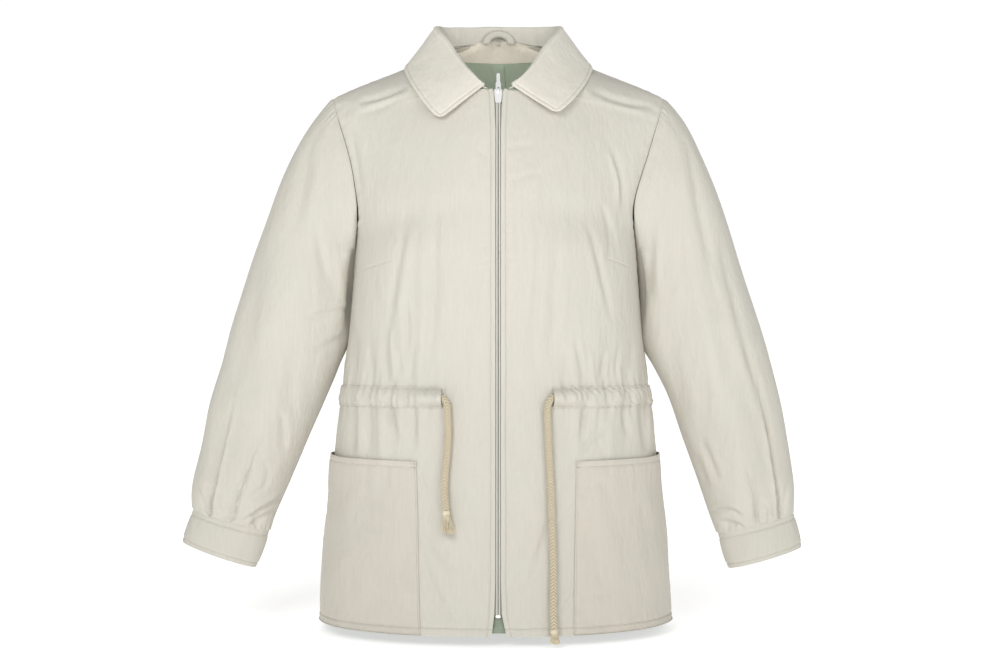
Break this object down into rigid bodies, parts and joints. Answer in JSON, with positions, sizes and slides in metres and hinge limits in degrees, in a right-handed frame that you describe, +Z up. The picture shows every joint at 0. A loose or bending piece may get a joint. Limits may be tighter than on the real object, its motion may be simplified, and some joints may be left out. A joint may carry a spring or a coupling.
{
  "type": "anorak",
  "caption": "Hip-length zip-front anorak with pointed collar, drawstring waist casing, patch pockets and cuffed sleeves, filled out as if worn.",
  "frame": {"origin": "centre of the wearer's neck base, at the height of the neckline's sides, midway between front and back of the neck", "axes": "+Z up, the zip faces -Y, +X towards the viewer's right when the front is looked at"},
  "size_m": [0.7815, 0.2933, 0.7745],
  "materials": {
    "shell_poplin": "matt stone-coloured cotton poplin",
    "sage_lining": "sage green lining with a slight sheen",
    "cord_yarn": "matt braided yarn",
    "zip_tape": "woven tape",
    "zip_metal": "bright silver metal"
  },
  "bodies": {
    "anorak": {"front_left": "shell_poplin", "front_right": "shell_poplin", "back": "shell_poplin", "sleeve_left": "shell_poplin", "sleeve_right": "shell_poplin", "cuff_left": "shell_poplin", "cuff_right": "shell_poplin", "collar": "shell_poplin", "back_neck_facing": "shell_poplin", "back_lining": "sage_lining", "zip_guard": "sage_lining", "waist_casing": "shell_poplin", "pocket_left": "shell_poplin", "pocket_right": "shell_poplin", "zip_left": "zip_tape", "zip_right": "zip_tape", "zip_stop": "zip_metal", "zip_slider": "zip_metal", "hanger_loop": "shell_poplin", "cord_left": "cord_yarn", "cord_right": "cord_yarn", "cord_end_left": "cord_yarn", "cord_end_right": "cord_yarn"},
    "pull_tab": {"zip_pull": "zip_metal"}
  },
  "joints": [
    {"name": "pull_tab_swing", "type": "hinge", "parent": "anorak", "child": "pull_tab", "pos_m": [0, -0.10066, -0.05098], "axis": [1, 0, 0], "range_deg": [0, 180]}
  ]
}
